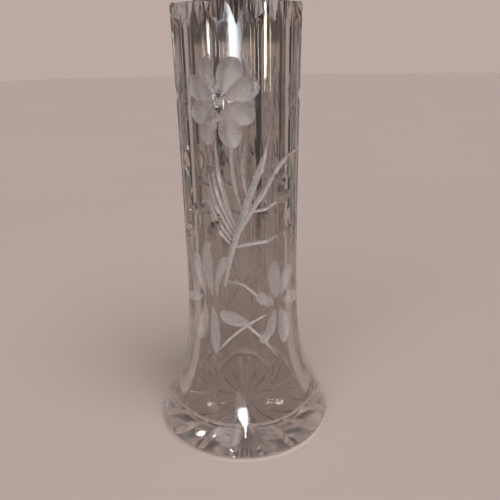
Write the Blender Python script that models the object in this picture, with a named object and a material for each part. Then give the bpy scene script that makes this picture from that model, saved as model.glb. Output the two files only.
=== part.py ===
"""Cut crystal vase: a panelled, slightly waisted body on a thick round foot.

Two solids stand for the vase's two gathers of glass. vase_body is the hollow
body with its eight cut panels and its notched rim. vase_foot is the thick
foot with a sixteen-ray star cut in its underside. Metres, +Z up, the origin
at the centre of the flat underside, one panel facing -Y.
"""

import math

import bmesh
import bpy
from mathutils import Vector

# ---- driving dimensions, in metres ----
HEIGHT = 0.254                # ten inches
PANELS = 8                    # flat vertical cuts round the body
STEPS_PER_PANEL = 6           # mesh steps across one panel
OUTSIDE_RINGS = 18            # mesh rings up the body's outside
INSIDE_RINGS = 12             # and up its hollow
RING_LEAN = 1.9               # how much closer the rings are where the foot flares

WAIST_RADIUS = 0.0327         # from the axis to the middle of a panel
WAIST_HEIGHT = 0.130
RIM_SWELL = 0.0010            # how much wider the rim is than the waist
FLARE_GAIN = 0.0230           # how far the foot flares out past the body
FLARE_LENGTH = 0.0362
FLARE_POWER = 1.55

FOOT_RADIUS = 0.0560
FOOT_EDGE_RADIUS = 0.004      # rounding of the foot's lower edge
PANEL_RUN_OUT = 0.017         # height at which the cut panels fade out
PANEL_FULL = 0.040            # height above which the panels meet in sharp edges

FLOOR_HEIGHT = 0.014          # thickness of glass under the hollow
BOND_GAP = 0.0003             # clearance between the two gathers
MOUTH_RADIUS = 0.0274         # the hollow at the rim
HOLLOW_FLARE = 0.0196         # how far the hollow widens at its floor
HOLLOW_FLARE_LENGTH = 0.0246
HOLLOW_FLARE_POWER = 1.12     # near 1 the hollow's wall is a plain exponential

RIM_CHAMFER = 0.0012
NOTCHES = 24                  # mitre cuts round the rim, three to a panel
NOTCH_DROP = 0.012            # length of a notch down the outer face
NOTCH_DEPTH = 0.0032          # how far a notch runs into the top face
NOTCH_HALF_WIDTH = 0.0037
NOTCH_OVERRUN = 0.006         # how far the cutter passes the top and the outside

STAR_RAYS = 16
STAR_INNER = 0.0015
STAR_WIDEST = 0.042           # from here out a ray rounds to its end
STAR_OUTER = 0.0515
STAR_END_SHARES = (0.5, 0.8)  # stations along a ray's rounded end
STAR_HALF_WIDTH = 0.0031
STAR_DEPTH = 0.0024
STAR_OVERRUN = 0.002          # how far the cutter passes below the underside

POINTS_ROUND = PANELS * STEPS_PER_PANEL


def clear_scene():
    for item in list(bpy.data.objects):
        bpy.data.objects.remove(item, do_unlink=True)


def smooth_step(value, low, high):
    t = min(max((value - low) / (high - low), 0.0), 1.0)
    return t * t * (3.0 - 2.0 * t)


def panel_radius(z):
    """Distance from the axis to the middle of a panel."""
    swell = RIM_SWELL * ((z - WAIST_HEIGHT) / (HEIGHT - WAIST_HEIGHT)) ** 2
    flare = FLARE_GAIN * math.exp(-((z / FLARE_LENGTH) ** FLARE_POWER))
    return WAIST_RADIUS + swell + flare


def outer_radius(z, angle):
    """The round blank, cut back to eight flats above the run-out."""
    half_panel = math.pi / PANELS
    off_centre = (angle + half_panel) % (2.0 * half_panel) - half_panel
    flat = panel_radius(z)
    spare = (1.0 / math.cos(half_panel) - 1.0) * smooth_step(z, PANEL_RUN_OUT, PANEL_FULL)
    return min(flat / math.cos(off_centre), flat * (1.0 + spare), FOOT_RADIUS)


def hollow_radius(z):
    depth = (z - FLOOR_HEIGHT) / HOLLOW_FLARE_LENGTH
    flare = HOLLOW_FLARE * math.exp(-(depth ** HOLLOW_FLARE_POWER))
    return MOUTH_RADIUS + flare


def ring(mesh, z, radius_at):
    """One closed loop of vertices at height z; the first lies on -Y."""
    loop = []
    for step in range(POINTS_ROUND):
        angle = 2.0 * math.pi * step / POINTS_ROUND
        radius = radius_at(z, angle)
        loop.append(mesh.verts.new((radius * math.sin(angle), -radius * math.cos(angle), z)))
    return loop


def bridge(mesh, lower, upper):
    """Quads between two loops, facing away from the axis when upper is above."""
    for step in range(POINTS_ROUND):
        ahead = (step + 1) % POINTS_ROUND
        mesh.faces.new((lower[step], lower[ahead], upper[ahead], upper[step]))


def finish_object(name, mesh, colour, roughness):
    data = bpy.data.meshes.new(name)
    bmesh.ops.recalc_face_normals(mesh, faces=mesh.faces)
    mesh.to_mesh(data)
    mesh.free()
    data.shade_smooth()
    data.set_sharp_from_angle(angle=math.radians(20.0))
    solid = bpy.data.objects.new(name, data)
    bpy.context.scene.collection.objects.link(solid)

    material = bpy.data.materials.new(name + "_glass")
    material.use_nodes = True
    shader = material.node_tree.nodes["Principled BSDF"]
    shader.inputs["Base Color"].default_value = (*colour, 1.0)
    shader.inputs["Roughness"].default_value = roughness
    shader.inputs["Metallic"].default_value = 0.0
    shader.inputs["IOR"].default_value = 1.54
    shader.inputs["Transmission Weight"].default_value = 1.0
    data.materials.append(material)
    return solid


def spread(low, high, count, lean=1.0):
    """Heights from low to high, closer together near low when lean is over 1."""
    return [low + (high - low) * (step / (count - 1)) ** lean for step in range(count)]


def make_body():
    """The hollow panelled body: outside, chamfered rim, and the blown inside."""
    bottom = FLOOR_HEIGHT + BOND_GAP / 2.0
    mesh = bmesh.new()
    outer_heights = spread(bottom, HEIGHT - RIM_CHAMFER, OUTSIDE_RINGS, RING_LEAN)
    inner_heights = spread(bottom, HEIGHT, INSIDE_RINGS, RING_LEAN)
    outside = [ring(mesh, z, outer_radius) for z in outer_heights]
    outside.append(ring(mesh, HEIGHT, lambda z, angle: outer_radius(z, angle) - RIM_CHAMFER))
    inside = [ring(mesh, z, lambda z, angle: hollow_radius(z)) for z in inner_heights]

    for lower, upper in zip(outside, outside[1:]):
        bridge(mesh, lower, upper)
    for lower, upper in zip(inside, inside[1:]):
        bridge(mesh, upper, lower)
    bridge(mesh, outside[-1], inside[-1])
    bridge(mesh, inside[0], outside[0])
    return finish_object("vase_body", mesh, (0.93, 0.92, 0.90), 0.03)


def make_foot():
    """The thick solid foot, rounded at its lower edge, flat above and below."""
    top = FLOOR_HEIGHT - BOND_GAP / 2.0
    edge_centre = FOOT_RADIUS - FOOT_EDGE_RADIUS
    mesh = bmesh.new()
    loops = []
    for step in range(5):
        turn = 0.5 * math.pi * step / 4
        radius = edge_centre + FOOT_EDGE_RADIUS * math.sin(turn)
        z = FOOT_EDGE_RADIUS * (1.0 - math.cos(turn))
        loops.append(ring(mesh, z, lambda z, angle, radius=radius: radius))
    for z in spread(FOOT_EDGE_RADIUS + 0.003, top, 3):
        loops.append(ring(mesh, z, outer_radius))
    for lower, upper in zip(loops, loops[1:]):
        bridge(mesh, lower, upper)
    mesh.faces.new(loops[-1])
    mesh.faces.new(list(reversed(loops[0])))
    return finish_object("vase_foot", mesh, (0.92, 0.90, 0.88), 0.03)


def cutter_object(name, solids):
    """Joins closed shapes, each a list of points and faces, into one cutter."""
    mesh = bmesh.new()
    for points, faces in solids:
        corners = [mesh.verts.new(point) for point in points]
        for face in faces:
            mesh.faces.new([corners[index] for index in face])
    bmesh.ops.recalc_face_normals(mesh, faces=mesh.faces)
    data = bpy.data.meshes.new(name)
    mesh.to_mesh(data)
    mesh.free()
    cutter = bpy.data.objects.new(name, data)
    bpy.context.scene.collection.objects.link(cutter)
    cutter.hide_render = True
    cutter.display_type = "WIRE"
    return cutter


def place(radial, across, z, angle):
    """A point at a distance out from the axis and a distance along the tangent."""
    out = Vector((math.sin(angle), -math.cos(angle), 0.0))
    tangent = Vector((math.cos(angle), math.sin(angle), 0.0))
    return out * radial + tangent * across + Vector((0.0, 0.0, z))


def rim_notches():
    """Mitre cuts across the rim's outer edge, each running out to a point below."""
    solids = []
    for index in range(NOTCHES):
        angle = 2.0 * math.pi * index / NOTCHES
        face = outer_radius(HEIGHT - NOTCH_DROP, angle)
        growth = 1.0 + NOTCH_OVERRUN / NOTCH_DROP
        lip = HEIGHT + NOTCH_OVERRUN
        valley = face - NOTCH_DEPTH * growth
        spill = 1.0 + NOTCH_OVERRUN / (NOTCH_DEPTH * growth)
        flank = NOTCH_HALF_WIDTH * growth * spill
        points = [
            place(face, 0.0, HEIGHT - NOTCH_DROP, angle),
            place(valley, 0.0, lip, angle),
            place(face + NOTCH_OVERRUN, flank, lip, angle),
            place(face + NOTCH_OVERRUN, -flank, lip, angle),
        ]
        solids.append((points, [(0, 1, 2), (0, 2, 3), (0, 3, 1), (1, 3, 2)]))
    return cutter_object("rim_notch_cutter", solids)


def star_width(radial):
    """Half the width of a ray: straight from the centre, then rounding to a point."""
    if radial <= STAR_WIDEST:
        return STAR_HALF_WIDTH * radial / STAR_WIDEST
    tip = (radial - STAR_WIDEST) / (STAR_OUTER - STAR_WIDEST)
    return STAR_HALF_WIDTH * math.sqrt(max(1.0 - tip * tip, 0.0))


def star_rays():
    """V grooves from the centre of the underside to near its edge."""
    end_length = STAR_OUTER - STAR_WIDEST
    ends = [STAR_WIDEST + share * end_length for share in STAR_END_SHARES]
    stations = [STAR_INNER, 0.5 * STAR_WIDEST, STAR_WIDEST, *ends, STAR_OUTER]
    solids = []
    for index in range(STAR_RAYS):
        angle = 2.0 * math.pi * (index + 0.5) / STAR_RAYS
        points = []
        for radial in stations:
            half = max(star_width(radial), 0.0001)
            depth = STAR_DEPTH * half / STAR_HALF_WIDTH
            widened = half * (1.0 + STAR_OVERRUN / depth)
            points.append(place(radial, 0.0, depth, angle))
            points.append(place(radial, widened, -STAR_OVERRUN, angle))
            points.append(place(radial, -widened, -STAR_OVERRUN, angle))
        faces = [(0, 1, 2), tuple(len(points) - 1 - corner for corner in (0, 1, 2))]
        for station in range(len(stations) - 1):
            first = 3 * station
            for corner in range(3):
                near = first + corner
                beside = first + (corner + 1) % 3
                faces.append((near, beside, beside + 3, near + 3))
        solids.append((points, faces))
    return cutter_object("star_ray_cutter", solids)


def cut(solid, cutter):
    """Takes the cutter out of the solid."""
    modifier = solid.modifiers.new(cutter.name, "BOOLEAN")
    modifier.operation = "DIFFERENCE"
    modifier.solver = "EXACT"
    modifier.use_self = True      # neighbouring cuts run into each other
    modifier.object = cutter


def main():
    clear_scene()
    cut(make_body(), rim_notches())
    cut(make_foot(), star_rays())


main()
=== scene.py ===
import math

import bmesh
import bpy
from mathutils import Matrix, Vector


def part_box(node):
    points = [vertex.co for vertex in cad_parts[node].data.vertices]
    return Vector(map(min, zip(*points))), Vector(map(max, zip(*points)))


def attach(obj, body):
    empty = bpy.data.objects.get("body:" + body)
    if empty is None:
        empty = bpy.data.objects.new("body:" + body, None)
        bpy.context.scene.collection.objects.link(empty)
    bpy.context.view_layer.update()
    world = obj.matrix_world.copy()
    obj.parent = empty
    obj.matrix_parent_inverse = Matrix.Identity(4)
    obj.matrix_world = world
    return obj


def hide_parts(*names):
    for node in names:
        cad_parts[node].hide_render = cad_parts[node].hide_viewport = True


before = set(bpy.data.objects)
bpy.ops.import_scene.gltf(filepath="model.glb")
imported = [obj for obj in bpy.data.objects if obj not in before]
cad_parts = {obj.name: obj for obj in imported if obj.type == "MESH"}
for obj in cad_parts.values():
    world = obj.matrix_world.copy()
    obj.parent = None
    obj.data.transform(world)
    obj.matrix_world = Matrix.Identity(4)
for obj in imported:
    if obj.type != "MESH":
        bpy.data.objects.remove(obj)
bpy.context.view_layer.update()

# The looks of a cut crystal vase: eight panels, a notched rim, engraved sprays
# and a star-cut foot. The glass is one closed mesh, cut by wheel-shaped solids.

MM = 0.001
body_low, body_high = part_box("vase_body")
foot_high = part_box("vase_foot")[1]

# ---- sizes of the blank, in metres ----
HEIGHT = body_high.z
FOOT_RADIUS = foot_high.x
FLOOR_HEIGHT = 0.5 * (body_low.z + foot_high.z)
PANELS = 8
HALF_PANEL = math.pi / PANELS
ARRIS_TRIM = 0.0080           # how much of the radius is worn off each ridge between panels

WAIST_RADIUS = 32.7 * MM
WAIST_HEIGHT = 130.0 * MM
RIM_SWELL = 1.0 * MM
FLARE_GAIN = 23.0 * MM
FLARE_LENGTH = 36.2 * MM
FLARE_POWER = 1.55
FOOT_EDGE_RADIUS = 4.0 * MM
PANEL_RUN_OUT = 17.0 * MM
PANEL_FULL = 40.0 * MM
MOUTH_RADIUS = 27.4 * MM
HOLLOW_FLARE = 19.6 * MM
HOLLOW_FLARE_LENGTH = 24.6 * MM
HOLLOW_FLARE_POWER = 1.12
HOLLOW_CORNER = 5.0 * MM
FLOOR_DISH = 1.0 * MM
RIM_CHAMFER = 1.2 * MM
LIP = 0.8 * MM                # of the rim's inner edge
RIDGE_OVER_FLAT = 1.0 / math.cos(HALF_PANEL) - ARRIS_TRIM

# ---- how finely the blank is meshed ----
STEPS_PER_PANEL = 16
CORNER_STEPS = 8              # round the foot's edge and round the hollow's corner
RING_GAP = 1.2                # between rings where the foot flares, in millimetres
RING_GAP_GROWTH = 2.8         # and how much wider it is up the body
GROWTH_FROM = 30.0 * MM
GROWTH_TO = 80.0 * MM
UNDERSIDE_RINGS = (20.0 * MM, 40.0 * MM)
FLOOR_SHARES = (0.75, 0.5, 0.25)
SHARP_EDGE = math.radians(15.0)

# ---- cuts ----
RIM_NOTCHES = 24
NOTCH_DROP = 12.0 * MM
NOTCH_DEPTH = 3.4 * MM
NOTCH_SLOPE = 1.25
NOTCH_RUN = 1.6               # how far the wheel runs on past the rim, over the notch's drop
NOTCH_REACH = 8.0 * MM        # how far the cutter stands out from the glass
STAR_RAYS = 16
STAR_DEPTH = 2.4 * MM
STAR_SLOPE = 1.3
STAR_INNER = 1.0 * MM
STAR_STATIONS = 15
STAR_BELOW = 1.0 * MM         # how far the cutter hangs below the underside
STAR_LIFT = 0.01 * MM         # keeps a ray's ends just clear of the glass
STAR_WIDEST = 42.0 * MM
STAR_OUTER = 51.5 * MM
SPREAD_RADIUS = 34.5 * MM     # the radius on which the engraving is laid out flat
WHEEL_RISE = 1.5 * MM         # how far a cutting wheel's solid stands above the glass
PATH_STEP = 1.2 * MM
LEAST_STEPS = 4
RIDGE_MARGIN = 0.15           # a step that ends this near a ridge gets no point on the ridge
MITRE_SLOPE = 1.6             # half the width of a mitre cut over its depth
OLIVE_RADIUS = 15.0           # of the rounded wheel's edge, in millimetres
OLIVE_WIDEST = 6.5
OLIVE_RISE = 1.2 * MM
OLIVE_STEPS = 10
BOAT_LIFT = 0.03 * MM         # how far a cut's pointed ends rise clear of the glass
STEM_LIFT = 0.02 * MM
STEM_FULL = 0.68              # the share of a stem's length that it runs at full depth
STEM_TAPER = 0.7              # under 1, a stem stays deep until near its end
BOW_START = 0.33              # a bowed cut's shoulders, as shares of its length
BOW_END = 0.67
BOW_HEIGHT = 0.9              # and how far they stand out, as a share of its bow
PETAL_LEAN = 1.35             # over 1, a petal is widest past its middle
PETAL_BOW = 0.06
FLOWER_TALLNESS = 1.12
FLOWER_UNEVENNESS = 0.07      # how much the petals' lengths differ
FLOWER_EYE = 0.16             # where the petals start, as a share of the flower's radius
DIMPLE_HALF_LENGTH = 0.13
DIMPLE_WIDTH = 0.24
RIPPLE = 0.05 * MM            # height of the wheel's lines across a petal
RIPPLE_PITCH = 1.7 * MM
PETAL_STEP = 0.55 * MM
LAYER_GAP = 0.4 * MM          # least distance between two cuts made in one pass


# ======================= the blank =======================

def smooth_step(value, low, high):
    t = min(max((value - low) / (high - low), 0.0), 1.0)
    return t * t * (3.0 - 2.0 * t)


def panel_radius(z):
    """Distance from the axis to the middle of a panel."""
    swell = RIM_SWELL * ((z - WAIST_HEIGHT) / (HEIGHT - WAIST_HEIGHT)) ** 2
    flare = FLARE_GAIN * math.exp(-((max(z, 0.0) / FLARE_LENGTH) ** FLARE_POWER))
    return WAIST_RADIUS + swell + flare


def outer_radius(z, angle):
    """The round blank, cut back to eight flats above the run-out."""
    off_centre = (angle + HALF_PANEL) % (2.0 * HALF_PANEL) - HALF_PANEL
    flat = panel_radius(z)
    spare = (RIDGE_OVER_FLAT - 1.0) * smooth_step(z, PANEL_RUN_OUT, PANEL_FULL)
    return min(flat / math.cos(off_centre), flat * (1.0 + spare), FOOT_RADIUS)


def ring_turns():
    """The angles of a ring's points: one on each worn ridge, then evenly across the panel."""
    edge = math.acos(1.0 / RIDGE_OVER_FLAT)
    across_panel = [2.0 * step / STEPS_PER_PANEL - 1.0 for step in range(STEPS_PER_PANEL + 1)]
    turns = []
    for panel in range(PANELS):
        middle = 2.0 * HALF_PANEL * panel
        turns.append(middle - HALF_PANEL)
        turns += [middle + edge * share for share in across_panel]
    return turns


RING_TURNS = ring_turns()


def ring_gap(z):
    """The distance to the next ring: small where the foot flares, larger up the body."""
    return (RING_GAP + RING_GAP_GROWTH * smooth_step(z, GROWTH_FROM, GROWTH_TO)) * MM


def hollow_radius(z):
    depth = max(z - FLOOR_HEIGHT, 0.0) / HOLLOW_FLARE_LENGTH
    return MOUTH_RADIUS + HOLLOW_FLARE * math.exp(-(depth ** HOLLOW_FLARE_POWER))


def around(radius, angle, z):
    """A point at an angle from the front, which faces -Y, turning towards +X."""
    return Vector((radius * math.sin(angle), -radius * math.cos(angle), z))


def add_ring(mesh, z, radius_at):
    return [mesh.verts.new(around(radius_at(z, turn), turn, z)) for turn in RING_TURNS]


def bridge_rings(mesh, lower, upper):
    for step in range(len(lower)):
        ahead = (step + 1) % len(lower)
        mesh.faces.new((lower[step], lower[ahead], upper[ahead], upper[step]))


def cap_ring(mesh, loop, z):
    """Closes a ring with a fan round one point on the axis."""
    centre = mesh.verts.new((0.0, 0.0, z))
    for step in range(len(loop)):
        mesh.faces.new((loop[step], loop[(step + 1) % len(loop)], centre))


def outside_rings(mesh):
    """From the middle of the underside out, round the foot's edge and up to the rim."""
    rings = []
    for radius in UNDERSIDE_RINGS:
        rings.append(add_ring(mesh, 0.0, lambda z, angle: radius))
    for step in range(CORNER_STEPS + 1):
        turn = 0.5 * math.pi * step / CORNER_STEPS
        radius = FOOT_RADIUS - FOOT_EDGE_RADIUS * (1.0 - math.sin(turn))
        z = FOOT_EDGE_RADIUS * (1.0 - math.cos(turn))
        rings.append(add_ring(mesh, z, lambda z, angle: radius))
    z = FOOT_EDGE_RADIUS
    while z < HEIGHT - RIM_CHAMFER:
        z += ring_gap(z)
        rings.append(add_ring(mesh, min(z, HEIGHT - RIM_CHAMFER), outer_radius))
    rings.append(add_ring(mesh, HEIGHT, lambda z, angle: outer_radius(z, angle) - RIM_CHAMFER))
    return rings


def inside_rings(mesh):
    """From the rim down the hollow, round its corner and in across its dished floor."""
    rings = [add_ring(mesh, HEIGHT, lambda z, angle: MOUTH_RADIUS + LIP)]
    z = HEIGHT - LIP
    corner_top = FLOOR_HEIGHT + HOLLOW_CORNER
    while z > corner_top:
        rings.append(add_ring(mesh, z, lambda z, angle: hollow_radius(z)))
        z -= ring_gap(z)
    corner_radius = hollow_radius(corner_top)
    for step in range(CORNER_STEPS + 1):
        turn = 0.5 * math.pi * step / CORNER_STEPS
        radius = corner_radius - HOLLOW_CORNER * (1.0 - math.cos(turn))
        z = corner_top - HOLLOW_CORNER * math.sin(turn)
        rings.append(add_ring(mesh, z, lambda z, angle: radius))
    floor_edge = corner_radius - HOLLOW_CORNER
    for share in FLOOR_SHARES:
        z = FLOOR_HEIGHT - FLOOR_DISH * (1.0 - share * share)
        rings.append(add_ring(mesh, z, lambda z, angle: floor_edge * share))
    return rings


def make_blank():
    """The uncut vase: one closed wall round an open hollow."""
    mesh = bmesh.new()
    outside = outside_rings(mesh)
    inside = inside_rings(mesh)
    rings = outside + inside
    for lower, upper in zip(rings, rings[1:]):
        bridge_rings(mesh, lower, upper)
    cap_ring(mesh, outside[0], 0.0)
    cap_ring(mesh, inside[-1], FLOOR_HEIGHT - FLOOR_DISH)
    bmesh.ops.recalc_face_normals(mesh, faces=mesh.faces)
    data = bpy.data.meshes.new("vase_crystal")
    mesh.to_mesh(data)
    mesh.free()
    return data


# ======================= node trees =======================

def new_tree(name, inputs):
    """A Geometry Nodes tree with named inputs; gives the tree, its nodes, and the input node."""
    tree = bpy.data.node_groups.new(name, "GeometryNodeTree")
    tree.interface.new_socket("Geometry", in_out="INPUT", socket_type="NodeSocketGeometry")
    for label, kind in inputs:
        tree.interface.new_socket(label, in_out="INPUT", socket_type=kind)
    tree.interface.new_socket("Geometry", in_out="OUTPUT", socket_type="NodeSocketGeometry")
    return tree, tree.nodes.new("NodeGroupInput")


def add_node(tree, kind, settings=None, **inputs):
    """One node; each input is a value or an output socket to link from."""
    node = tree.nodes.new(kind)
    for key, value in (settings or {}).items():
        setattr(node, key, value)
    for label, value in inputs.items():
        index = label.replace("_", " ").title() if not label.startswith("at") else int(label[2:])
        socket = node.inputs[index]
        if isinstance(value, bpy.types.NodeSocket):
            tree.links.new(value, socket)
        else:
            socket.default_value = value
    return node


def named_attribute(tree, name, kind="FLOAT"):
    return add_node(
        tree, "GeometryNodeInputNamedAttribute", {"data_type": kind}, at0=name,
    ).outputs[0]


def close_tree(tree, geometry, material):
    """Ends a tree in Realize Instances and Set Material."""
    real = add_node(tree, "GeometryNodeRealizeInstances", at0=geometry)
    paint = add_node(tree, "GeometryNodeSetMaterial", at0=real.outputs[0], at2=material)
    end = tree.nodes.new("NodeGroupOutput")
    tree.links.new(paint.outputs[0], end.inputs[0])


def wheel_cut_tree():
    """Runs a wheel's profile along lines on the glass, as deep as each point asks."""
    tree, given = new_tree("wheel_cuts", [
        ("Profile", "NodeSocketObject"),
        ("Rise", "NodeSocketFloat"),
        ("Material", "NodeSocketMaterial"),
    ])
    facing = named_attribute(tree, "facing", "FLOAT_VECTOR")
    depth = named_attribute(tree, "depth")
    lift = add_node(
        tree, "ShaderNodeVectorMath", {"operation": "SCALE"},
        at0=facing, scale=given.outputs["Rise"],
    )
    lifted = add_node(
        tree, "GeometryNodeSetPosition", at0=given.outputs["Geometry"], offset=lift.outputs[0],
    )
    path = add_node(tree, "GeometryNodeMeshToCurve", at0=lifted.outputs[0])
    turned = add_node(
        tree, "GeometryNodeSetCurveNormal", {"mode": "FREE"}, at0=path.outputs[0], normal=facing,
    )
    wheel = add_node(tree, "GeometryNodeObjectInfo", at0=given.outputs["Profile"])
    outline = add_node(tree, "GeometryNodeMeshToCurve", at0=wheel.outputs["Geometry"])
    reach = add_node(tree, "ShaderNodeMath", {"operation": "ADD"}, at0=depth, at1=given.outputs["Rise"])
    sweep = add_node(
        tree, "GeometryNodeCurveToMesh",
        at0=turned.outputs[0], at1=outline.outputs[0], scale=reach.outputs[0], fill_caps=True,
    )
    across = named_attribute(tree, "across")
    along = named_attribute(tree, "along")
    place = add_node(tree, "ShaderNodeCombineXYZ", x=along, y=across)
    marked = add_node(
        tree, "GeometryNodeStoreNamedAttribute", {"data_type": "FLOAT_VECTOR", "domain": "CORNER"},
        at0=sweep.outputs[0], name="wheel_path", value=place.outputs[0],
    )
    close_tree(tree, marked.outputs[0], given.outputs["Material"])
    return tree


def turned_copies_tree():
    """Copies of a shape, evenly turned round the vase's axis."""
    tree, given = new_tree("turned_copies", [
        ("Count", "NodeSocketInt"),
        ("First Turn", "NodeSocketFloat"),
        ("Material", "NodeSocketMaterial"),
    ])
    points = add_node(tree, "GeometryNodePoints", count=given.outputs["Count"])
    index = tree.nodes.new("GeometryNodeInputIndex")
    share = add_node(
        tree, "ShaderNodeMath", {"operation": "DIVIDE"},
        at0=index.outputs[0], at1=given.outputs["Count"],
    )
    turn = add_node(
        tree, "ShaderNodeMath", {"operation": "MULTIPLY_ADD"},
        at0=share.outputs[0], at1=2.0 * math.pi, at2=given.outputs["First Turn"],
    )
    rotation = add_node(tree, "ShaderNodeCombineXYZ", z=turn.outputs[0])
    copies = add_node(
        tree, "GeometryNodeInstanceOnPoints",
        points=points.outputs[0], instance=given.outputs["Geometry"], rotation=rotation.outputs[0],
    )
    close_tree(tree, copies.outputs[0], given.outputs["Material"])
    return tree


def run_tree(name, data, tree, values):
    """Runs a tree on a mesh and gives the result as a plain mesh."""
    thing = bpy.data.objects.new(name, data)
    bpy.context.scene.collection.objects.link(thing)
    modifier = thing.modifiers.new("tree", "NODES")
    modifier.node_group = tree
    for item in tree.interface.items_tree:
        if item.item_type == "SOCKET" and item.in_out == "INPUT" and item.name in values:
            modifier[item.identifier] = values[item.name]
    seen = thing.evaluated_get(bpy.context.evaluated_depsgraph_get())
    result = bpy.data.meshes.new_from_object(seen)
    bpy.data.objects.remove(thing)
    return result


# ======================= wheel cuts =======================

def profile_object(name, points):
    """A closed outline of a wheel's edge: y is -1 at the edge and 0 at the rise."""
    data = bpy.data.meshes.new(name)
    count = len(points)
    edges = [(index, (index + 1) % count) for index in range(count)]
    data.from_pydata([(y, -x, 0.0) for x, y in points], edges, [])
    across = data.attributes.new("across", "FLOAT", "POINT")
    widest = max(x for x, y in points)
    across.data.foreach_set("value", [x / widest for x, y in points])
    return bpy.data.objects.new(name, data)


def mitre_profile(slope):
    """A V wheel; slope is half its width over its height."""
    return [(0.0, -1.0), (slope, 0.0), (-slope, 0.0)]


def olive_profile():
    """The lowest part of a round wheel's edge, as wide as it is at the rise."""
    radius = OLIVE_RADIUS * MM / (OLIVE_RISE + olive_depth(OLIVE_WIDEST))
    spread = math.acos(1.0 - 1.0 / radius)
    turns = [spread * (2.0 * step / OLIVE_STEPS - 1.0) for step in range(OLIVE_STEPS + 1)]
    return [(radius * math.sin(turn), radius * (1.0 - math.cos(turn)) - 1.0) for turn in turns]


def olive_depth(half_width):
    """How deep the rounded wheel goes to make a scoop of this half width, in millimetres."""
    return (OLIVE_RADIUS - math.sqrt(OLIVE_RADIUS ** 2 - half_width ** 2)) * MM


def surface_normal(angle, z):
    """The way the glass faces, level round the panels' ridges."""
    step = 0.2 * MM
    turn = step / SPREAD_RADIUS
    here = around(outer_radius(z, angle - turn), angle - turn, z)
    there = around(outer_radius(z, angle + turn), angle + turn, z)
    below = around(outer_radius(z - step, angle), angle, z - step)
    above = around(outer_radius(z + step, angle), angle, z + step)
    return (there - here).cross(above - below).normalized()


def ridge_between(first, second):
    """The angle of the panel ridge between two angles, or None."""
    low, high = sorted((first, second))
    nearest = math.ceil(low / (2.0 * HALF_PANEL) - 0.5) * 2.0 * HALF_PANEL + HALF_PANEL
    return nearest if low < nearest < high else None


def bend(points, share):
    """A point on the smooth curve through a few points; share runs from 0 to 1."""
    spans = len(points) - 1
    at = min(share * spans, spans - 1e-6)
    span = int(at)
    t = at - span
    p1, p2 = Vector(points[span]), Vector(points[span + 1])
    p0 = Vector(points[span - 1]) if span > 0 else 2.0 * p1 - p2
    p3 = Vector(points[span + 2]) if span + 2 <= spans else 2.0 * p2 - p1
    return 0.5 * ((2.0 * p1) + (p2 - p0) * t + (2.0 * p0 - 5.0 * p1 + 4.0 * p2 - p3) * t * t
                  + (3.0 * p1 - 3.0 * p2 + p3 - p0) * t * t * t)


class Pass:
    """Lines on the glass that one wheel follows without crossing itself."""

    def __init__(self):
        self.points = []
        self.edges = []
        self.facings = []
        self.depths = []
        self.distances = []
        self.reaches = []

    def is_clear(self, cut):
        return all(
            (old - new).length > reach + width + LAYER_GAP
            for new, width in zip(cut.points, cut.reaches)
            for old, reach in zip(self.points, self.reaches)
        )

    def add(self, cut):
        first = len(self.points)
        self.edges += [(first + low, first + high) for low, high in cut.edges]
        for mine, theirs in (
            (self.points, cut.points), (self.facings, cut.facings), (self.depths, cut.depths),
            (self.distances, cut.distances), (self.reaches, cut.reaches),
        ):
            mine += theirs

    def to_mesh(self, name):
        data = bpy.data.meshes.new(name)
        data.from_pydata(self.points, self.edges, [])
        facing = data.attributes.new("facing", "FLOAT_VECTOR", "POINT")
        facing.data.foreach_set("vector", [value for normal in self.facings for value in normal])
        for label, values in (("depth", self.depths), ("along", self.distances)):
            data.attributes.new(label, "FLOAT", "POINT").data.foreach_set("value", values)
        return data


class CutSet:
    """All the cuts of one kind of wheel, sorted into passes that don't cross."""

    def __init__(self, name, half_width):
        self.name = name
        self.half_width = half_width
        self.passes = []

    def add_point(self, cut, angle, z, depth, distance):
        cut.points.append(around(outer_radius(z, angle), angle, z))
        cut.facings.append(surface_normal(angle, z))
        cut.depths.append(depth)
        cut.distances.append(distance)
        cut.reaches.append(self.half_width(max(depth, 0.0)))

    def cut(self, route, depth_at, step=PATH_STEP):
        """route is a few (x, z) points in millimetres; depth_at gives the depth for a share."""
        length = sum((Vector(b) - Vector(a)).length for a, b in zip(route, route[1:])) * MM
        count = max(LEAST_STEPS, round(length / step))
        cut = Pass()
        previous = None
        for index in range(count + 1):
            share = index / count
            x, z = bend(route, share)
            angle, z = x * MM / SPREAD_RADIUS, z * MM
            if previous is not None:
                ridge = ridge_between(previous[0], angle)
                if ridge is not None and z > PANEL_RUN_OUT:
                    part = (ridge - previous[0]) / (angle - previous[0])
                    if RIDGE_MARGIN < part < 1.0 - RIDGE_MARGIN:
                        middle = previous[2] + (share - previous[2]) * part
                        height = previous[1] + (z - previous[1]) * part
                        self.add_point(cut, ridge, height, depth_at(middle), middle * length)
            self.add_point(cut, angle, z, depth_at(share), share * length)
            previous = (angle, z, share)
        cut.edges = [(index, index + 1) for index in range(len(cut.points) - 1)]
        for layer in self.passes:
            if layer.is_clear(cut):
                layer.add(cut)
                return
        self.passes.append(cut)


def mitre_half_width(depth):
    return MITRE_SLOPE * depth


def olive_half_width(depth):
    return math.sqrt(max(2.0 * OLIVE_RADIUS * MM * depth - depth * depth, 0.0))


def boat(deepest, lean=1.0, fullness=0.8):
    """A cut that comes in at a point and leaves at a point; lean over 1 moves its deepest on."""
    def depth_at(share):
        return (deepest + BOAT_LIFT) * math.sin(math.pi * share ** lean) ** fullness - BOAT_LIFT
    return depth_at


# ======================= materials =======================

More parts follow.
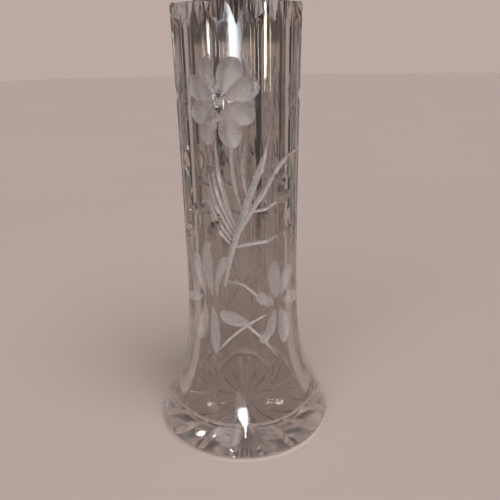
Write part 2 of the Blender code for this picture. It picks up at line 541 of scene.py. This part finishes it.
GLASS_TINT = (0.69, 0.66, 0.64)
LEAD_CRYSTAL_IOR = 1.54
CLOUD_AND_WIPES = (0.24, 0.42)    # the range of the film's pattern that goes from clean to smeared
GRINDING_SHARE = 0.03             # height of the panels' grinding marks against their ripples
PANEL_RIPPLE = 0.10 * MM
ORANGE_PEEL = 0.05 * MM
FROST_GRAIN = 0.05 * MM
LINE_BOW = 1.5 * MM               # how far a wheel's line bows along the cut
LINE_HEIGHT = 0.5                 # of the wheel's lines against the grain
LINE_SHADE = 0.10
WORN_RANGE = (0.3, 0.7)
WORN_TONE = 0.9


def glass_material(name, colour, roughness, transmission=1.0):
    """Lead crystal; gives the material, its tree and its shader."""
    material = bpy.data.materials.new(name)
    material.use_nodes = True
    tree = material.node_tree
    shader = tree.nodes["Principled BSDF"]
    shader.inputs["Base Color"].default_value = (*colour, 1.0)
    shader.inputs["Roughness"].default_value = roughness
    shader.inputs["IOR"].default_value = LEAD_CRYSTAL_IOR
    shader.inputs["Transmission Weight"].default_value = transmission
    return material, tree, shader


def toned(colour, share):
    """A colour made lighter or darker, with the fourth value that a socket wants."""
    return (*[share * value for value in colour], 1.0)


def object_coordinates(tree):
    return tree.nodes.new("ShaderNodeTexCoord").outputs["Object"]


def noise(tree, coordinates, scale, detail, roughness=0.55):
    return add_node(
        tree, "ShaderNodeTexNoise", at0=coordinates, scale=scale, detail=detail, roughness=roughness,
    ).outputs["Fac"]


def fit_range(tree, value, low, high, new_low, new_high):
    """A value's range carried over to another, held at both ends."""
    return add_node(
        tree, "ShaderNodeMapRange", value=value, at1=low, at2=high, at3=new_low, at4=new_high,
    ).outputs[0]


def add_bump(tree, shader, height, strength, distance):
    bump = add_node(tree, "ShaderNodeBump", strength=strength, distance=distance, height=height)
    tree.links.new(bump.outputs[0], shader.inputs["Normal"])


def add_smears(tree, shader, coordinates, clean, smeared):
    """Faint cloudy film and wipe marks that dull the polish here and there."""
    cloud = noise(tree, coordinates, scale=38.0, detail=5.0)
    wiped = add_node(
        tree, "ShaderNodeMapping", at0=coordinates, rotation=(0.3, 0.2, 0.5), scale=(55.0, 55.0, 9.0),
    )
    wipes = noise(tree, wiped.outputs[0], scale=4.0, detail=3.0)
    both = add_node(tree, "ShaderNodeMath", {"operation": "MULTIPLY"}, at0=cloud, at1=wipes)
    roughness = fit_range(tree, both.outputs[0], *CLOUD_AND_WIPES, clean, smeared)
    tree.links.new(roughness, shader.inputs["Roughness"])


def clear_crystal_glass():
    """The blown and panel-cut skin: faint ripples up the panels and a film of handling."""
    material, tree, shader = glass_material("clear_crystal", GLASS_TINT, 0.0)
    coordinates = object_coordinates(tree)
    stretched = add_node(tree, "ShaderNodeMapping", at0=coordinates, scale=(1.0, 1.0, 0.3))
    slow = noise(tree, stretched.outputs[0], scale=42.0, detail=1.0)
    grinding = add_node(tree, "ShaderNodeMapping", at0=coordinates, scale=(30.0, 30.0, 900.0))
    fine = noise(tree, grinding.outputs[0], scale=1.0, detail=2.0)
    height = add_node(
        tree, "ShaderNodeMath", {"operation": "MULTIPLY_ADD"}, at0=fine, at1=GRINDING_SHARE, at2=slow,
    )
    add_bump(tree, shader, height.outputs[0], strength=1.0, distance=PANEL_RIPPLE)
    add_smears(tree, shader, coordinates, clean=0.045, smeared=0.14)
    return material


def polished_cut_glass():
    """Acid-polished facets: bright, with a slight orange-peel swell."""
    material, tree, shader = glass_material("polished_cut", GLASS_TINT, 0.0)
    coordinates = object_coordinates(tree)
    swell = noise(tree, coordinates, scale=260.0, detail=1.0)
    add_bump(tree, shader, swell, strength=0.5, distance=ORANGE_PEEL)
    add_smears(tree, shader, coordinates, clean=0.02, smeared=0.07)
    return material


def wheel_lines(tree, pitch):
    """Fine lines left across a cut by the wheel, bowed towards its far end."""
    path = add_node(tree, "ShaderNodeAttribute", {"attribute_name": "wheel_path"})
    parts = add_node(tree, "ShaderNodeSeparateXYZ", at0=path.outputs["Vector"])
    along, across = parts.outputs[0], parts.outputs[1]
    squared = add_node(tree, "ShaderNodeMath", {"operation": "MULTIPLY"}, at0=across, at1=across)
    bowed_path = add_node(
        tree, "ShaderNodeMath", {"operation": "MULTIPLY_ADD"},
        at0=squared.outputs[0], at1=LINE_BOW, at2=along,
    )
    turns = add_node(
        tree, "ShaderNodeMath", {"operation": "MULTIPLY"},
        at0=bowed_path.outputs[0], at1=2.0 * math.pi / pitch,
    )
    return add_node(tree, "ShaderNodeMath", {"operation": "SINE"}, at0=turns.outputs[0]).outputs[0]


def frosted_glass(name, whiteness, transmission, smooth, coarse, pitch):
    """Grey-cut glass: left matt off the stone, with the wheel's lines and a fine grain."""
    material, tree, shader = glass_material(name, whiteness, smooth, transmission)
    coordinates = object_coordinates(tree)
    lines = wheel_lines(tree, pitch)
    grain = noise(tree, coordinates, scale=2600.0, detail=3.0)
    height = add_node(
        tree, "ShaderNodeMath", {"operation": "MULTIPLY_ADD"}, at0=lines, at1=LINE_HEIGHT, at2=grain,
    )
    add_bump(tree, shader, height.outputs[0], strength=0.55, distance=FROST_GRAIN)
    worn = noise(tree, coordinates, scale=120.0, detail=4.0)
    mottled = add_node(
        tree, "ShaderNodeMath", {"operation": "MULTIPLY_ADD"}, at0=lines, at1=LINE_SHADE, at2=worn,
    )
    roughness = fit_range(tree, mottled.outputs[0], *WORN_RANGE, smooth, coarse)
    tree.links.new(roughness, shader.inputs["Roughness"])
    shade = add_node(
        tree, "ShaderNodeMix", {"data_type": "RGBA"}, at0=worn,
        at6=toned(whiteness, WORN_TONE), at7=toned(whiteness, 1.0),
    )
    tree.links.new(shade.outputs[2], shader.inputs["Base Color"])
    return material


clear_crystal = clear_crystal_glass()
polished_cut = polished_cut_glass()
frosted_cut = frosted_glass(
    "frosted_cut", (0.93, 0.93, 0.94), transmission=0.82, smooth=0.20, coarse=0.34, pitch=0.85 * MM,
)
stem_cut = frosted_glass(
    "stem_cut", (0.93, 0.92, 0.92), transmission=0.74, smooth=0.18, coarse=0.32, pitch=0.6 * MM,
)


# ======================= the engraved sprays =======================
# Routes are laid out flat, in millimetres: x round the vase from the middle of
# the front panel, z up from the table.

def bowed(base, tip, bow):
    """A route from base to tip that bows to one side by a share of its length."""
    base, tip = Vector(base), Vector(tip)
    run = tip - base
    side = Vector((-run.y, run.x)) * bow
    return [base, base + run * BOW_START + side * BOW_HEIGHT, base + run * BOW_END + side * BOW_HEIGHT, tip]


def fading(deepest, start=0.35):
    """A stem's depth: already open where it starts, full for most of its way, then a point."""
    def depth_at(share):
        grow = start + (1.0 - start) * math.sin(math.pi * min(share / 0.5, 1.0) * 0.5)
        fall = math.cos(0.5 * math.pi * max(share - STEM_FULL, 0.0) / (1.0 - STEM_FULL)) ** STEM_TAPER
        return deepest * grow * fall - STEM_LIFT
    return depth_at


def mitre_depth(width):
    """How deep the mitre wheel goes to make a cut this many millimetres wide."""
    return 0.5 * width * MM / MITRE_SLOPE


def leaf(cuts, base, tip, width, bow=0.0):
    """One polished mitre leaf; width in millimetres at its widest."""
    cuts.cut(bowed(base, tip, bow), boat(mitre_depth(width)))


def petal(scoops, base, tip, width, bow=0.0):
    """One frosted scoop, widest past its middle."""
    length = (Vector(tip) - Vector(base)).length * MM
    scoop = boat(olive_depth(0.5 * width), lean=PETAL_LEAN)
    lines = 2.0 * math.pi * length / RIPPLE_PITCH

    def depth_at(share):
        return scoop(share) + RIPPLE * math.sin(lines * share) * math.sin(math.pi * share)

    scoops.cut(bowed(base, tip, bow), depth_at, step=PETAL_STEP)


def flower(scoops, centre, radius, petals, first_turn, width):
    """Petals round a small dimple, a little taller than wide."""
    centre = Vector(centre)
    for index in range(petals):
        turn = first_turn + 2.0 * math.pi * index / petals
        way = Vector((math.cos(turn), FLOWER_TALLNESS * math.sin(turn)))
        reach = radius * (1.0 + FLOWER_UNEVENNESS * math.sin(3.0 * turn))
        petal(scoops, centre + way * FLOWER_EYE * radius, centre + way * reach, width, bow=PETAL_BOW)
    half = Vector((0.0, DIMPLE_HALF_LENGTH * radius))
    petal(scoops, centre - half, centre + half, DIMPLE_WIDTH * radius)


def main_spray(stems, leaves, scoops):
    """The tall spray: a large flower at the top, two low ones, stems and leaves between."""
    flower(scoops, (-10.0, 207.0), radius=21.0, petals=8, first_turn=0.3, width=12.5)
    for base, tip, width in (
        ((-2.6, 139.0), (-12.5, 189.0), 2.4), ((-3.4, 137.0), (-16.0, 182.0), 2.4),
        ((-4.2, 135.0), (-18.5, 173.0), 2.3), ((-5.0, 132.5), (-19.5, 163.0), 2.2),
        ((-5.6, 130.0), (-18.5, 153.0), 2.0), ((0.5, 150.0), (-4.0, 193.0), 2.4),
        ((3.5, 158.0), (3.0, 186.0), 2.0),
    ):
        stems.cut(bowed(base, tip, 0.05), boat(mitre_depth(width), lean=0.9))
    for route, width, start in (
        ([(-10.0, 106.0), (-6.0, 125.0), (-0.5, 142.0),
          (6.0, 160.0), (12.0, 176.0), (16.0, 191.0)], 3.8, 0.4),
        ([(-2.0, 136.0), (5.0, 148.0), (11.4, 158.0),
          (20.0, 169.0), (30.0, 176.0), (41.0, 180.0)], 3.4, 0.5),
        ([(6.0, 149.0), (14.0, 151.0), (23.0, 153.0)], 2.2, 0.4),
        ([(-4.0, 129.0), (8.0, 131.5), (24.0, 133.5)], 2.4, 0.4),
        ([(-17.0, 153.0), (-22.0, 155.0), (-26.0, 148.0), (-27.0, 138.0)], 1.8, 0.3),
        ([(-9.0, 109.0), (0.6, 106.0), (8.0, 100.0), (17.0, 92.0)], 1.8, 0.4),
        ([(-17.0, 61.0), (-8.0, 72.0), (2.0, 80.0), (15.0, 88.0)], 1.8, 0.3),
        ([(20.0, 57.0), (12.0, 70.0), (3.5, 79.5), (-2.0, 84.0)], 1.8, 0.3),
    ):
        stems.cut(route, fading(mitre_depth(width), start))
    for base, tip, width, bow in (
        ((20.0, 168.0), (31.0, 162.0), 6.4, 0.0), ((22.0, 152.0), (35.5, 155.0), 7.6, 0.1),
        ((33.0, 164.0), (36.5, 179.0), 7.0, 0.1),
        ((24.0, 133.5), (39.5, 136.0), 8.6, -0.12), ((-12.5, 176.5), (-21.0, 169.0), 5.6, 0.0),
        ((-22.5, 182.0), (-25.0, 167.0), 5.2, 0.0), ((-36.0, 181.0), (-35.0, 166.0), 5.2, 0.0),
        ((-21.5, 152.5), (-36.0, 147.0), 8.4, 0.1), ((-11.5, 149.5), (-24.0, 131.0), 9.0, 0.12),
        ((-32.5, 140.5), (-41.5, 129.0), 7.4, 0.0),
        ((5.5, 113.0), (10.0, 97.0), 3.4, 0.0),
    ):
        leaf(leaves, base, tip, width, bow)
    for base, tip, width in (
        ((-18.5, 97.0), (-21.0, 133.0), 9.6), ((-15.0, 98.0), (-9.5, 124.0), 7.6),
        ((-24.0, 96.0), (-31.5, 123.0), 8.6), ((-19.0, 92.0), (-17.0, 62.0), 10.0),
        ((-25.0, 92.0), (-31.0, 66.0), 9.0), ((-27.0, 96.0), (-42.0, 92.0), 8.0),
        ((22.5, 94.0), (20.0, 119.0), 11.4), ((26.0, 94.0), (35.0, 112.0), 10.6),
        ((20.0, 91.5), (8.5, 101.0), 9.6), ((27.0, 91.0), (42.0, 90.0), 10.4),
        ((20.5, 88.0), (10.0, 69.0), 10.6), ((25.0, 88.0), (27.5, 63.0), 11.4),
        ((5.0, 81.0), (-13.5, 89.0), 9.6),
    ):
        petal(scoops, base, tip, width, bow=0.05)


def side_sprig(stems, leaves, scoops):
    """A smaller sprig for the panels between two tall sprays."""
    flower(scoops, (54.0, 206.0), radius=15.0, petals=7, first_turn=0.2, width=9.6)
    stems.cut([(54.0, 100.0), (51.0, 130.0), (55.5, 160.0), (54.0, 190.0)], fading(1.1 * MM, 0.15))
    stalk = 53.0
    for side, height, length in (
        (1, 120.0, 17.0), (-1, 132.0, 17.0), (1, 146.0, 16.0), (-1, 158.0, 15.0), (1, 171.0, 13.0),
    ):
        root = (stalk + 1.5 * side, height)
        tip = (stalk + side * length * 0.75, height + length * 0.8)
        leaf(leaves, root, tip, 6.0, 0.1 * side)
    for tip, width, bow in (
        ((46.0, 76.0), 8.6, 0.08), ((62.0, 78.0), 8.6, -0.08), ((54.0, 70.0), 9.0, 0.0),
    ):
        petal(scoops, (54.0, 101.0), tip, width, bow)


# ======================= putting the vase together =======================

wheels = wheel_cut_tree()
copies = turned_copies_tree()


def closed_solid(name, points, faces):
    """A closed shape whose faces are turned to point outwards."""
    data = bpy.data.meshes.new(name)
    data.from_pydata(points, [], faces)
    mesh = bmesh.new()
    mesh.from_mesh(data)
    bmesh.ops.recalc_face_normals(mesh, faces=mesh.faces)
    mesh.to_mesh(data)
    mesh.free()
    return data


def cut_away(data, cutter_data, name):
    """Takes a cutter's solids out of the glass; the cut faces keep the cutter's material."""
    glass = bpy.data.objects.new(name + "_glass", data)
    cutter = bpy.data.objects.new(name, cutter_data)
    for thing in (glass, cutter):
        bpy.context.scene.collection.objects.link(thing)
    modifier = glass.modifiers.new(name, "BOOLEAN")
    modifier.object = cutter
    modifier.operation = "DIFFERENCE"
    modifier.solver = "MANIFOLD"
    modifier.material_mode = "TRANSFER"
    seen = glass.evaluated_get(bpy.context.evaluated_depsgraph_get())
    result = bpy.data.meshes.new_from_object(seen)
    bpy.data.objects.remove(glass)
    bpy.data.objects.remove(cutter)
    return result


def notch_solid():
    """One mitre cut across the rim's outer edge, at the front."""
    low = HEIGHT - NOTCH_DROP
    face = outer_radius(low, 0.0)
    lip = low + NOTCH_RUN * NOTCH_DROP
    valley = face - NOTCH_RUN * NOTCH_DEPTH
    out = face + NOTCH_REACH
    half = NOTCH_SLOPE * (out - valley)
    points = [
        around(face, 0.0, low), around(valley, 0.0, lip),
        Vector((half, -out, lip)), Vector((-half, -out, lip)),
    ]
    return closed_solid("rim_notch", points, [(0, 1, 2), (0, 2, 3), (0, 3, 1), (1, 3, 2)])


def star_half_width(radial):
    """A share of the ray's widest: straight from the middle, then rounding to its end."""
    if radial <= STAR_WIDEST:
        return radial / STAR_WIDEST
    tip = (radial - STAR_WIDEST) / (STAR_OUTER - STAR_WIDEST)
    return math.sqrt(max(1.0 - tip * tip, 0.0))


def star_solid():
    """One ray of the star: a V groove from the middle of the underside to near its edge."""
    points = []
    for station in range(STAR_STATIONS):
        radial = STAR_INNER + (STAR_OUTER - STAR_INNER) * station / (STAR_STATIONS - 1)
        depth = STAR_DEPTH * star_half_width(radial) - STAR_LIFT
        half = STAR_SLOPE * (depth + STAR_BELOW)
        points += [
            around(radial, 0.0, depth),
            Vector((half, -radial, -STAR_BELOW)), Vector((-half, -radial, -STAR_BELOW)),
        ]
    last = len(points)
    faces = [(0, 2, 1), (last - 3, last - 2, last - 1)]
    for first in range(0, last - 3, 3):
        for corner in range(3):
            near, beside = first + corner, first + (corner + 1) % 3
            faces.append((near, beside, beside + 3, near + 3))
    return closed_solid("star_ray", points, faces)


def sweep(cuts, profile, rise, material):
    """The solids of each pass of one wheel, on opposite sides of the vase."""
    tools = []
    for layer in cuts.passes:
        solids = run_tree(cuts.name, layer.to_mesh(cuts.name), wheels, {
            "Profile": profile, "Rise": rise, "Material": material})
        tools.append(run_tree(cuts.name, solids, copies, {
            "Count": 2, "First Turn": 0.0, "Material": material}))
    return tools


def make_vase():
    """The blank with every cut taken out of it, as one piece."""
    data = make_blank()
    data.materials.append(clear_crystal)
    stems = CutSet("stem_cuts", mitre_half_width)
    leaves = CutSet("leaf_cuts", mitre_half_width)
    scoops = CutSet("petal_scoops", olive_half_width)
    main_spray(stems, leaves, scoops)
    side_sprig(stems, leaves, scoops)
    mitre_wheel = profile_object("mitre_wheel", mitre_profile(MITRE_SLOPE))
    olive_wheel = profile_object("olive_wheel", olive_profile())
    tools = [
        *sweep(scoops, olive_wheel, OLIVE_RISE, frosted_cut),
        *sweep(stems, mitre_wheel, WHEEL_RISE, stem_cut),
        *sweep(leaves, mitre_wheel, WHEEL_RISE, polished_cut),
        run_tree("rim_notches", notch_solid(), copies, {
            "Count": RIM_NOTCHES, "First Turn": 0.0, "Material": polished_cut}),
        run_tree("star", star_solid(), copies, {
            "Count": STAR_RAYS, "First Turn": math.pi / STAR_RAYS, "Material": polished_cut}),
    ]
    for tool in tools:
        data = cut_away(data, tool, "cutter")
    data.shade_smooth()
    data.set_sharp_from_angle(angle=SHARP_EDGE)
    vase = bpy.data.objects.new("vase_crystal", data)
    bpy.context.scene.collection.objects.link(vase)
    return vase


# ======================= the studio =======================

FLOOR_GAP = 0.2 * MM
FLOOR_RADIUS = 6.0
FLOOR_TONE = (0.58, 0.485, 0.45)
BACKDROP = (0.497, 0.400, 0.365)
PAINTED_FOOT_GLOW = 0.62         # painted glow on the floor under the foot, standing in for light the glass would gather there
FLAG_DISTANCE = 125.0 * MM    # black flags stand round the vase, out of the camera's sight
FLAG_WIDTH = 42.0 * MM
FLAG_FOOT = 40.0 * MM
FLAG_FULL = 125.0 * MM        # below this height a flag glows with painted light, so that it pales towards the tone of the floor
FLAG_FOOT_GLOW = 0.92
FLAG_TOP = 290.0 * MM
FLAG_TURN = math.radians(30.0)
FLAG_TONE = (0.035, 0.03, 0.03)
CARD_SHADE = 0.20             # a dark card standing behind the rim
CARD_HALF_TURN = math.radians(27.0)
CARD_FOOT = 0.034             # the card's lower and upper edge, as the sine of their height
CARD_TOP = 0.12
ROOM_STOPS = ((0.10, 1.0), (0.22, 0.62), (0.36, 0.50), (0.50, 0.24))    # height and shade
CEILING = (0.09, 0.085, 0.085)

# ---- small lamps: name, place, what they point at, size, power and colour ----
LAMPS = (
    ("front_strip", (-0.007, -0.6, 0.200), (-0.007, 0.0, 0.200), (0.014, 0.16), 0.21, (0.84, 0.91, 1.0)),
    ("warm_left", (-0.5, -0.55, 0.75), (0.0, 0.0, 0.2), (0.04, 0.04), 0.4, (1.0, 0.88, 0.62)),
    ("warm_right", (0.42, -0.45, 0.62), (0.0, 0.0, 0.2), (0.05, 0.05), 0.7, (1.0, 0.9, 0.7)),
    ("ridge_right", (0.458, -0.435, 0.231), (0.0, 0.0, 0.22), (0.05, 0.10), 0.50, (1.0, 0.93, 0.74)),
    ("ridge_left", (-0.458, -0.435, 0.236), (0.0, 0.0, 0.22), (0.05, 0.04), 0.14, (1.0, 0.96, 0.86)),
    ("warm_behind", (0.30, 0.75, 0.80), (0.0, 0.0, 0.2), (0.04, 0.04), 0.35, (1.0, 0.92, 0.78)),
)


def make_floor():
    """A pale floor whose far edge runs out into a backdrop of its own tone, with a painted glow under the
    foot.
    """
    mesh = bmesh.new()
    down = Matrix.Translation((0.0, 0.0, -FLOOR_GAP))
    bmesh.ops.create_circle(mesh, cap_ends=True, segments=96, radius=FLOOR_RADIUS, matrix=down)
    data = bpy.data.meshes.new("floor")
    mesh.to_mesh(data)
    mesh.free()
    material = bpy.data.materials.new("pale_floor")
    material.use_nodes = True
    tree = material.node_tree
    shader = tree.nodes["Principled BSDF"]
    coordinates = object_coordinates(tree)
    mottle = noise(tree, coordinates, scale=3.0, detail=3.0)
    shade = add_node(
        tree, "ShaderNodeMix", {"data_type": "RGBA"}, at0=mottle,
        at6=toned(FLOOR_TONE, 0.97), at7=toned(FLOOR_TONE, 1.03),
    )
    tree.links.new(shade.outputs[2], shader.inputs["Base Color"])
    shader.inputs["Roughness"].default_value = 0.9
    shader.inputs["Specular IOR Level"].default_value = 0.1
    tooth = noise(tree, coordinates, scale=900.0, detail=3.0)
    add_bump(tree, shader, tooth, strength=0.2, distance=0.2 * MM)
    # painted light: the floor glows in the backdrop's tone under the foot, fading out just past its edge
    out = add_node(tree, "ShaderNodeVectorMath", {"operation": "LENGTH"}, at0=coordinates)
    glow = fit_range(
        tree, out.outputs["Value"], 0.95 * FOOT_RADIUS, 1.01 * FOOT_RADIUS, PAINTED_FOOT_GLOW, 0.0,
    )
    tree.links.new(glow, shader.inputs["Emission Strength"])
    shader.inputs["Emission Color"].default_value = (*BACKDROP, 1.0)
    data.materials.append(material)
    floor = bpy.data.objects.new("floor", data)
    bpy.context.scene.collection.objects.link(floor)
    return floor


def make_flags():
    """Black flags either side of each quarter, seen only in the glass, for its dark bands; their lower part
    glows with painted light.
    """
    mesh = bmesh.new()
    for quarter in range(4):
        for side in (-1.0, 1.0):
            turn = 0.5 * math.pi * quarter + side * FLAG_TURN
            middle = around(FLAG_DISTANCE, turn, FLAG_FOOT)
            along = Vector((math.cos(turn), math.sin(turn), 0.0)) * 0.5 * FLAG_WIDTH
            lift = Vector((0.0, 0.0, FLAG_TOP - FLAG_FOOT))
            corners = (middle - along, middle + along, middle + along + lift, middle - along + lift)
            mesh.faces.new([mesh.verts.new(corner) for corner in corners])
    data = bpy.data.meshes.new("flags")
    mesh.to_mesh(data)
    mesh.free()
    material = bpy.data.materials.new("black_flag")
    material.use_nodes = True
    tree = material.node_tree
    shader = tree.nodes["Principled BSDF"]
    shader.inputs["Base Color"].default_value = (*FLAG_TONE, 1.0)
    shader.inputs["Roughness"].default_value = 0.9
    place = add_node(tree, "ShaderNodeSeparateXYZ", at0=object_coordinates(tree))
    # painted light: the flag glows in the backdrop's tone near its foot, fading out up to FLAG_FULL
    fade = fit_range(tree, place.outputs[2], FLAG_FOOT, FLAG_FULL, FLAG_FOOT_GLOW, 0.0)
    tree.links.new(fade, shader.inputs["Emission Strength"])
    shader.inputs["Emission Color"].default_value = (*BACKDROP, 1.0)
    data.materials.append(material)
    flags = bpy.data.objects.new("flags", data)
    flags.visible_camera = False
    flags.visible_diffuse = False
    flags.visible_shadow = False
    bpy.context.scene.collection.objects.link(flags)
    return flags


def make_camera():
    """Level with the rim, close in, looking down at the foot, tipped a little to one side."""
    distance = 302.5 * MM
    lens_height = 229.4 * MM
    look_down = math.radians(20.74)
    tip = math.radians(0.98)
    aside = math.radians(-0.98)
    data = bpy.data.cameras.new("camera")
    data.sensor_width = 36.0
    data.lens = 37.35
    camera = bpy.data.objects.new("camera", data)
    camera.matrix_world = (
        Matrix.Translation((0.0, -distance, lens_height))
        @ Matrix.Rotation(aside, 4, "Z")
        @ Matrix.Rotation(0.5 * math.pi - look_down, 4, "X")
        @ Matrix.Rotation(-tip, 4, "Z")
    )
    data.clip_start = 0.01
    bpy.context.scene.collection.objects.link(camera)
    bpy.context.scene.camera = camera


def make_world():
    """A plain backdrop; the glass itself sees a pale room with a dark card and a dim ceiling."""
    world = bpy.data.worlds.new("studio")
    bpy.context.scene.world = world
    world.use_nodes = True
    tree = world.node_tree
    back = tree.nodes["Background"]
    direction = tree.nodes.new("ShaderNodeTexCoord").outputs["Generated"]
    way = add_node(tree, "ShaderNodeSeparateXYZ", at0=direction)
    turn = add_node(
        tree, "ShaderNodeMath", {"operation": "ARCTAN2"}, at0=way.outputs[0], at1=way.outputs[1],
    )
    aside = add_node(tree, "ShaderNodeMath", {"operation": "ABSOLUTE"}, at0=turn.outputs[0])
    beside = fit_range(tree, aside.outputs[0], CARD_HALF_TURN, 1.15 * CARD_HALF_TURN, 0.0, 1.0)
    under = fit_range(tree, way.outputs[2], 1.12 * CARD_FOOT, CARD_FOOT, 0.0, 1.0)
    over = fit_range(tree, way.outputs[2], CARD_TOP, 1.3 * CARD_TOP, 0.0, 1.0)
    outside = add_node(tree, "ShaderNodeMath", {"operation": "MAXIMUM"}, at0=beside, at1=under)
    off_card = add_node(
        tree, "ShaderNodeMath", {"operation": "MAXIMUM"}, at0=outside.outputs[0], at1=over,
    )
    card = fit_range(tree, off_card.outputs[0], 0.0, 1.0, CARD_SHADE, 1.0)
    climb = add_node(tree, "ShaderNodeValToRGB", at0=way.outputs[2])
    ramp = climb.color_ramp
    ramp.elements[0].position = 0.0
    ramp.elements[0].color = (*BACKDROP, 1.0)
    ramp.elements[1].position = 1.0
    ramp.elements[1].color = (*CEILING, 1.0)
    for place, shade in ROOM_STOPS:
        stop = ramp.elements.new(place)
        stop.color = toned(BACKDROP, shade)
    room = add_node(
        tree, "ShaderNodeMix", {"data_type": "RGBA", "blend_type": "MULTIPLY"}, at0=1.0,
        at6=climb.outputs[0], at7=card,
    )
    sight = tree.nodes.new("ShaderNodeLightPath")
    seen = add_node(
        tree, "ShaderNodeMix", {"data_type": "RGBA"}, at0=sight.outputs["Is Camera Ray"],
        at6=room.outputs[2], at7=(*BACKDROP, 1.0),
    )
    tree.links.new(seen.outputs[2], back.inputs["Color"])


def make_sun(name, tilt, turn, strength, softness, colour):
    data = bpy.data.lights.new(name, "SUN")
    data.energy = strength
    data.color = colour
    data.angle = math.radians(softness)
    lamp = bpy.data.objects.new(name, data)
    lamp.rotation_euler = (math.radians(tilt), 0.0, math.radians(turn))
    bpy.context.scene.collection.objects.link(lamp)


def make_lamp(name, place, target, size, power, colour):
    data = bpy.data.lights.new(name, "AREA")
    data.shape = "RECTANGLE"
    data.size, data.size_y = size
    data.energy = power
    data.color = colour
    lamp = bpy.data.objects.new(name, data)
    lamp.visible_camera = False
    lamp.visible_diffuse = False
    lamp.location = place
    lamp.rotation_euler = (Vector(target) - Vector(place)).to_track_quat("-Z", "Y").to_euler()
    bpy.context.scene.collection.objects.link(lamp)


vase = make_vase()
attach(vase, "root")
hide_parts("vase_body", "vase_foot")
make_floor()
make_flags()
make_camera()
make_world()
make_sun("soft_overhead", tilt=28.0, turn=35.0, strength=1.75, softness=40.0, colour=(1.0, 0.98, 0.96))
make_sun("soft_front", tilt=62.0, turn=-25.0, strength=1.1, softness=50.0, colour=(1.0, 0.99, 0.98))
for name, place, target, size, power, colour in LAMPS:
    make_lamp(name, place, target, size, power, colour)
bpy.context.scene.view_settings.view_transform = "Standard"
bpy.context.scene.cycles.max_bounces = 32
bpy.context.scene.cycles.transmission_bounces = 28
bpy.context.scene.cycles.glossy_bounces = 24
